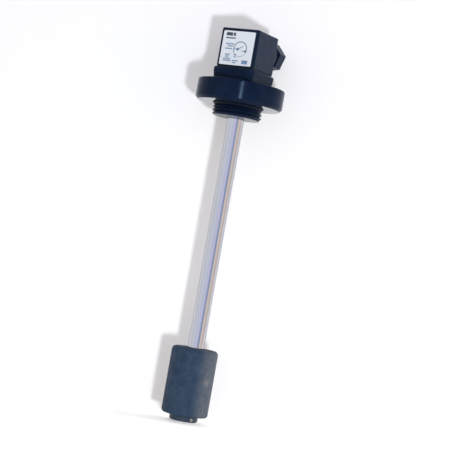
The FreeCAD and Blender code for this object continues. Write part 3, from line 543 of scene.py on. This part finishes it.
def stopScrew():
    look = setScrew
    low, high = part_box("stop_screw")
    middle = (low + high) / 2
    radius = (high.z - low.z) / 2
    outward = Vector((middle.x, middle.y, 0)).normalized()
    half = max((vert.co - middle).dot(outward) for vert in nodes["stop_screw"].data.vertices)
    side = outward.cross(up)
    sixth = math.pi / 3

    def build(bm):
        def ring(reach, depth, hexagon=False):
            made = []
            for k in range(look["sides"]):
                angle = 2 * math.pi * k / look["sides"]
                grow = reach
                if hexagon:
                    grow = reach / math.cos((angle + sixth / 2) % sixth - sixth / 2)
                around = side * math.cos(angle) + up * math.sin(angle)
                made.append(bm.verts.new(middle + outward * depth + around * grow))
            return made

        rings = [
            ring(radius - look["chamfer"], -half), ring(radius, look["chamfer"] - half),
            ring(radius, half - look["chamfer"]), ring(radius - look["chamfer"], half),
            ring(look["socket"], half, hexagon=True),
            ring(look["socket"], half - look["socketDepth"], hexagon=True),
        ]
        for first, second in zip(rings, rings[1:]):
            for k in range(look["sides"]):
                n = (k + 1) % look["sides"]
                bm.faces.new((first[k], first[n], second[n], second[k]))
        bm.faces.new(rings[0])
        bm.faces.new(rings[-1])

    mesh = meshFrom("stop_set_screw", build)
    mesh.shade_smooth()
    mesh.set_sharp_from_angle(angle=look["sharp"])
    screw = newPiece("stop_set_screw", mesh, "head_and_stem", "screw_steel")
    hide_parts("stop_screw")


stopScrew()
print("set screw made")


# Plain marks on the label, in millimetres from its middle: rows of bars and a round contact symbol
labelMarks = {
    "height": 0.02, "symbolHeight": 0.03, "sink": 0.01,
    "heading": [(-7.4, 9.1, 4.8, 2.2), (-3.6, 9.1, 1.6, 2.2), (-6.2, 6.5, 7.4, 0.8)],  # place and size
    "rows": [(-6.0, 2.6, 6.4), (-5.6, 1.2, 4.2), (-6.6, -0.6, 5.4), (-6.7, -4.5, 3.6), (-6.9, -5.8, 2.6),
             (-0.9, -4.4, 1.7), (-0.9, -5.8, 1.5), (-6.7, -7.3, 5.4), (-6.5, -8.6, 6.0), (-0.4, -8.4, 4.4),
             (-0.8, -9.7, 2.6)],  # across, up, wide
    "rowHeight": 0.85,
    "stamp": (7.0, -8.9, 4.4, 2.5),
    "ringMiddle": (2.2, -0.4), "ringRadius": 5.2, "arcStep": 5,
    "ringArcs": [(-25, 205, 0.8), (206, 334, 0.3)],  # from, to, thick
    "contact": [((-2.4, -0.6), (0.6, -0.6)), ((0.6, -0.6), (4.2, 1.6)), ((3.4, -1.6), (6.4, -1.6))],
    "line": 0.45,
    "terminals": [(0.4, -0.6), (6.3, -1.7)], "terminalRadius": 0.95, "terminalStep": 15,
}


def labelPrint():
    marks = labelMarks
    low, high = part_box("rating_label")
    middle = (low + high) / 2
    rear = low.y + marks["sink"] * mm

    def slab(bm, outline, height=marks["height"]):
        faces = [[bm.verts.new((middle.x + u * mm, depth, middle.z + v * mm)) for u, v in outline]
                 for depth in (low.y - height * mm, rear)]
        bm.faces.new(faces[0])
        bm.faces.new(list(reversed(faces[1])))
        for k in range(len(outline)):
            n = (k + 1) % len(outline)
            bm.faces.new((faces[0][k], faces[0][n], faces[1][n], faces[1][k]))

    def bar(bm, across, rise, wide, tall):
        corners = ((-1, -1), (1, -1), (1, 1), (-1, 1))
        slab(bm, [(across + i * wide / 2, rise + j * tall / 2) for i, j in corners])

    def stroke(bm, start, end, thick):
        along = (Vector(end) - Vector(start)).normalized() * thick / 2
        off = Vector((-along.y, along.x))
        slab(bm, [Vector(start) - along - off, Vector(end) + along - off,
                  Vector(end) + along + off, Vector(start) - along + off], marks["symbolHeight"])

    def onCircle(centre, radius, degrees):
        angle = math.radians(degrees)
        return centre[0] + radius * math.cos(angle), centre[1] + radius * math.sin(angle)

    def arc(bm, first, last, thick):
        steps = round((last - first) / marks["arcStep"])
        turns = [first + (last - first) * k / steps for k in range(steps + 1)]
        rim = [onCircle(marks["ringMiddle"], marks["ringRadius"], turn) for turn in turns]
        rim += [onCircle(marks["ringMiddle"], marks["ringRadius"] - thick, turn) for turn in reversed(turns)]
        slab(bm, rim)

    def buildHeading(bm):
        for block in marks["heading"]:
            bar(bm, *block)

    def buildRows(bm):
        for across, rise, wide in marks["rows"]:
            bar(bm, across, rise, wide, marks["rowHeight"])
        for first, last, thick in marks["ringArcs"]:
            arc(bm, first, last, thick)

    def buildSymbol(bm):
        bar(bm, *marks["stamp"])
        for start, end in marks["contact"]:
            stroke(bm, start, end, marks["line"])
        turns = range(0, 360, marks["terminalStep"])
        for spot in marks["terminals"]:
            dot = [onCircle(spot, marks["terminalRadius"], turn) for turn in turns]
            slab(bm, dot, marks["symbolHeight"])

    prints = (
        ("label_heading", buildHeading, "inkGrey"),
        ("label_rows", buildRows, "inkPale"),
        ("label_symbol", buildSymbol, "inkBlue"),
    )
    for name, build, colour in prints:
        newPiece(name, meshFrom(name, build), "head_and_stem", "label_film", ink(colour))


labelPrint()
print("label marked")


# Camera: level with the middle of the stem, turned towards the corner of the connector
view = {
    "azimuth": 29.97, "distance": 1.0, "height": -0.1036, "aimHeight": -0.08031, "aimAcross": 0.00582,
    "lean": 9.96, "field": 17.081, "near": 0.01,
}


def makeCamera():
    turn = math.radians(view["azimuth"])
    toward = Vector((math.sin(turn), -math.cos(turn), 0))
    across = Vector((math.cos(turn), math.sin(turn), 0))
    camera = bpy.data.objects.new("camera", bpy.data.cameras.new("camera"))
    bpy.context.scene.collection.objects.link(camera)
    camera.location = toward * view["distance"] + up * view["height"]
    aim = across * view["aimAcross"] + up * view["aimHeight"]
    look = (aim - camera.location).to_track_quat("-Z", "Y")
    camera.rotation_mode = "QUATERNION"
    camera.rotation_quaternion = look @ Quaternion((0, 0, 1), math.radians(view["lean"]))
    camera.data.angle = math.radians(view["field"])
    camera.data.clip_start = view["near"]
    bpy.context.scene.camera = camera
    return toward, across


toward, across = makeCamera()
print("camera set")


# Stage: a white floor under the part and a white sheet close behind it, both clear from the back
stageLook = {
    "white": rgb(0.86, 0.845, 0.79), "floorGlow": 0.45, "floorDrop": 0.5 * mm, "floorSize": 0.52,
    "sheetGlow": 0.14, "sheetBehind": 41 * mm, "sheetSize": 0.6,
}


def stageFinish(name, glow):
    mat, shader, wire, _ = newFinish(name)
    path = wire.node("LightPath")
    seen = [Wire(wire.tree, path.socket.node.outputs[ray])
            for ray in ("Is Camera Ray", "Is Glossy Ray", "Is Transmission Ray")]
    shows = wire.math("MINIMUM", seen[0] + seen[1] + seen[2], 1.0)  # its glow is seen, but lights nothing
    wire.plug(shader, {
        "Base Color": stageLook["white"], "Roughness": 1.0, "Specular IOR Level": 0.0,
        "Emission Color": shows * glow, "Emission Strength": 1.0,
    })
    back = wire.node("NewGeometry", out="Backfacing")
    front = Wire(wire.tree, shader.outputs[0])
    mixed = wire.node("MixShader", {}, {0: back, 1: front, 2: wire.node("BsdfTransparent")})
    wire.tree.links.new(mixed.socket, wire.tree.nodes["Material Output"].inputs["Surface"])
    return mat


def stagePlane(name, centre, normal, size, glow):
    shape = bmesh.new()
    bmesh.ops.create_grid(shape, x_segments=1, y_segments=1, size=size / 2)
    mesh = bpy.data.meshes.new(name)
    shape.to_mesh(mesh)
    shape.free()
    mesh.materials.append(stageFinish(name + "White", glow))
    plane = bpy.data.objects.new(name, mesh)
    bpy.context.scene.collection.objects.link(plane)
    plane.matrix_world = Matrix.Translation(centre) @ normal.to_track_quat("Z", "Y").to_matrix().to_4x4()
    plane.visible_shadow = False


def makeStage():
    look = stageLook
    floorLevel = cadBox[0][2] - look["floorDrop"]
    stagePlane("floor", up * floorLevel, up, look["floorSize"], look["floorGlow"])
    stagePlane("sheet", toward * -look["sheetBehind"], toward, look["sheetSize"], look["sheetGlow"])


makeStage()
print("stage set")


# Light: a key beside the camera, a strip for the head alone, a soft light from the right and a little behind,
# and a pale room with a blue band and a warm end on the right
lightLook = {
    "key": {"right": 200 * mm, "ahead": 1.0, "level": -252 * mm, "size": 0.07, "power": 5.5,
            "colour": (0.93, 0.98, 1.09), "target": -90 * mm, "unseen": True},
    "strip": {"right": 15 * mm, "ahead": 0.9, "level": 108 * mm, "size": 0.07, "height": 0.1, "power": 1.9,
              "colour": (0.42, 0.68, 1.0), "target": 6 * mm, "only": [head, thread]},
    "side": {"right": 0.8, "ahead": -0.22, "level": -40 * mm, "size": 0.4, "power": 5.9,
             "colour": (1.0, 0.95, 0.88), "target": -90 * mm, "unseen": True},
    "roomLevel": 0.9, "horizon": (0.14, 0.4), "overhead": 0.3,
    "room": [(0.0, rgb(0.94, 0.93, 0.94)), (0.081, rgb(0.97, 1.0, 1.05)), (0.2, rgb(0.97, 0.99, 1.06)),
             (0.29, rgb(0.82, 0.90, 1.07)), (0.4, rgb(0.96, 0.93, 1.12)), (0.5, rgb(0.94, 0.88, 1.12)),
             (0.61, rgb(0.84, 0.83, 1.06)), (0.68, rgb(0.40, 0.52, 0.74)), (0.78, rgb(0.39, 0.52, 0.73)),
             (0.85, rgb(1.10, 0.92, 0.80)), (0.919, rgb(1.15, 0.95, 0.80)), (1.0, rgb(0.90, 0.78, 0.70))],
}


def areaLight(name):
    look = lightLook[name]
    lamp = bpy.data.lights.new(name, "AREA")
    lamp.shape = "RECTANGLE"
    lamp.size = look["size"]
    lamp.size_y = look.get("height", look["size"])
    lamp.energy = look["power"]
    lamp.color = look["colour"]
    light = bpy.data.objects.new(name, lamp)
    bpy.context.scene.collection.objects.link(light)
    light.location = across * look["right"] + toward * look["ahead"] + up * look["level"]
    light.rotation_mode = "QUATERNION"
    light.rotation_quaternion = (light.location - up * look["target"]).to_track_quat("Z", "Y")
    light.visible_glossy = not look.get("unseen", False)
    if "only" in look:
        lit = bpy.data.collections.new(name + "Lights")
        for piece in look["only"]:
            lit.objects.link(piece)
        light.light_linking.receiver_collection = lit


def makeRoom():
    look = lightLook
    world = bpy.data.worlds.new("room")
    world.use_nodes = True
    bpy.context.scene.world = world
    wire = Wire(world.node_tree)
    background = world.node_tree.nodes["Background"]
    way = wire.node("TexCoord", out="Generated")
    turned = wire.node("VectorRotate", {"rotation_type": "Z_AXIS"},
                       {"Vector": way, "Angle": -math.radians(view["azimuth"])})
    side = wire.node("SeparateXYZ", {}, {"Vector": turned}, out="X")  # -1 on the left to 1 on the right
    rise = wire.math("ABSOLUTE", wire.node("SeparateXYZ", {}, {"Vector": turned}, out="Z"))
    fade = 1 - ramp(wire, rise, *look["horizon"]) * look["overhead"]
    tone = wire.node("ValToRGB", {"stops": look["room"]}, {"Fac": side * 0.5 + 0.5})
    faded = wire.node("VectorMath", {"operation": "SCALE"}, {0: tone, "Scale": fade})
    wire.plug(background, {"Color": faded, "Strength": look["roomLevel"]})
    white = wire.node("Background", {}, {"Color": rgb(1, 1, 1), "Strength": 1.0})  # what the camera sees
    path = wire.node("LightPath", out="Is Camera Ray")
    room = Wire(wire.tree, background.outputs[0])
    mixed = wire.node("MixShader", {}, {0: path, 1: room, 2: white})
    wire.tree.links.new(mixed.socket, wire.tree.nodes["World Output"].inputs["Surface"])


areaLight("key")
areaLight("strip")
areaLight("side")
makeRoom()
bpy.context.scene.view_settings.view_transform = "Standard"
print("light set")
